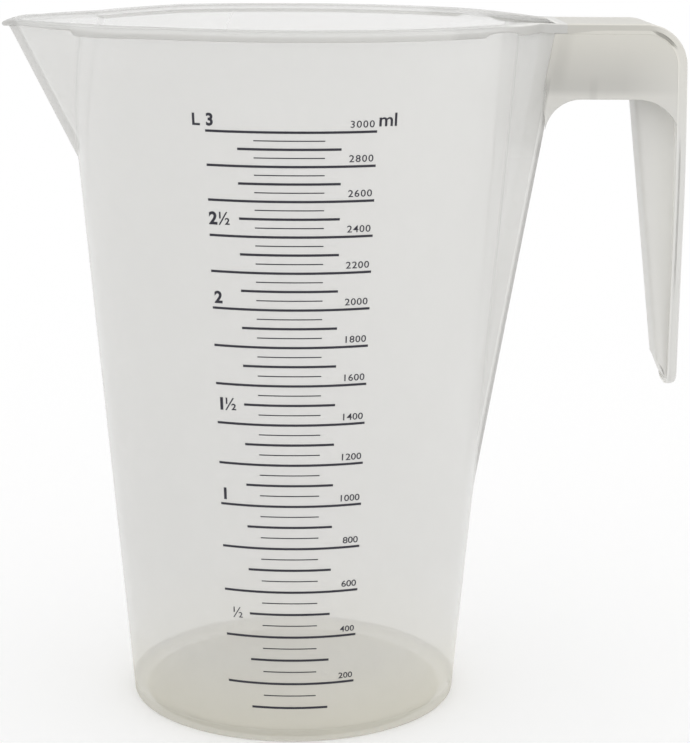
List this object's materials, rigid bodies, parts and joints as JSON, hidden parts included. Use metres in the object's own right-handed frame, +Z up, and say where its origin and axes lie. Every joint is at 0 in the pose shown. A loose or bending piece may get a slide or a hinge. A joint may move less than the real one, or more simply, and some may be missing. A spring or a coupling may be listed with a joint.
{
  "type": "measuring jug",
  "caption": "Tall tapering measuring jug of translucent plastic with a pouring spout, a rim flange, a printed volume scale and an open hook handle.",
  "frame": {"origin": "middle of the base, on the surface that the jug stands on", "axes": "+Z up, +X towards the handle, -X towards the spout, -Y towards the side with the printed scale"},
  "size_m": [0.241, 0.175, 0.248],
  "materials": {
    "polypropylene": "satin, translucent natural polypropylene",
    "ink": "matt black screen print"
  },
  "bodies": {
    "root": {"base_floor": "polypropylene", "foot_ring": "polypropylene", "body_wall": "polypropylene", "pouring_spout": "polypropylene", "spout_lip": "polypropylene", "rim_lip_front": "polypropylene", "rim_lip_rear": "polypropylene", "rim_skirt_front": "polypropylene", "rim_skirt_rear": "polypropylene", "handle_column": "polypropylene", "handle_arm": "polypropylene", "handle_bend": "polypropylene", "grip_strap": "polypropylene", "edge_bead_front": "polypropylene", "edge_bead_rear": "polypropylene", "cheek_front": "polypropylene", "cheek_rear": "polypropylene", "grip_channel": "polypropylene", "arm_rib_front": "polypropylene", "arm_rib_rear": "polypropylene", "cross_rib_front": "polypropylene", "cross_rib_rear": "polypropylene", "marks_long": "ink", "marks_medium": "ink", "marks_fine": "ink"}
  },
  "joints": []
}
